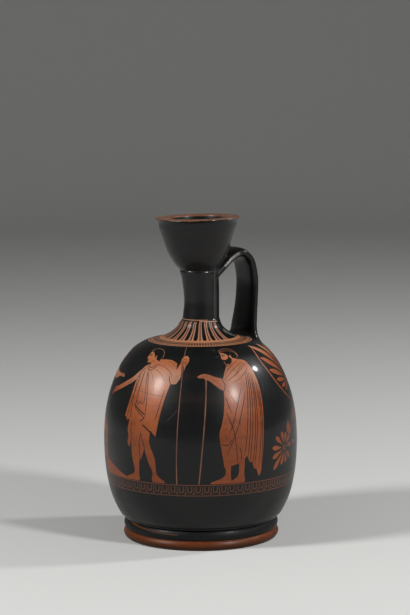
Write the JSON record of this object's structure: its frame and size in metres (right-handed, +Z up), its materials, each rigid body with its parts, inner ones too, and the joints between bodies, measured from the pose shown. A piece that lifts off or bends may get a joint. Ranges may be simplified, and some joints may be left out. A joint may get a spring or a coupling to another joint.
{
  "type": "squat lekythos",
  "caption": "Wheel-thrown oil flask with a rounded body on a ring foot, a narrow neck, a flaring flat-rimmed mouth and a strap handle from neck to shoulder.",
  "frame": {"origin": "centre of the foot's underside, on the surface the flask stands on", "axes": "+Z up along the wheel axis, +X from the axis towards the handle, +Y completes a right-handed frame"},
  "size_m": [0.1208, 0.1208, 0.2],
  "materials": {
    "fired_clay": "burnished orange clay",
    "clay_slip": "fired slip",
    "black_gloss": "black gloss slip"
  },
  "bodies": {
    "root": {"foot": "fired_clay", "foot_lute": "clay_slip", "body": "black_gloss", "neck_lute": "clay_slip", "neck": "black_gloss", "mouth_lute": "clay_slip", "mouth": "black_gloss", "handle": "black_gloss", "handle_upper_lute": "clay_slip", "handle_lower_lute": "clay_slip"}
  },
  "joints": []
}
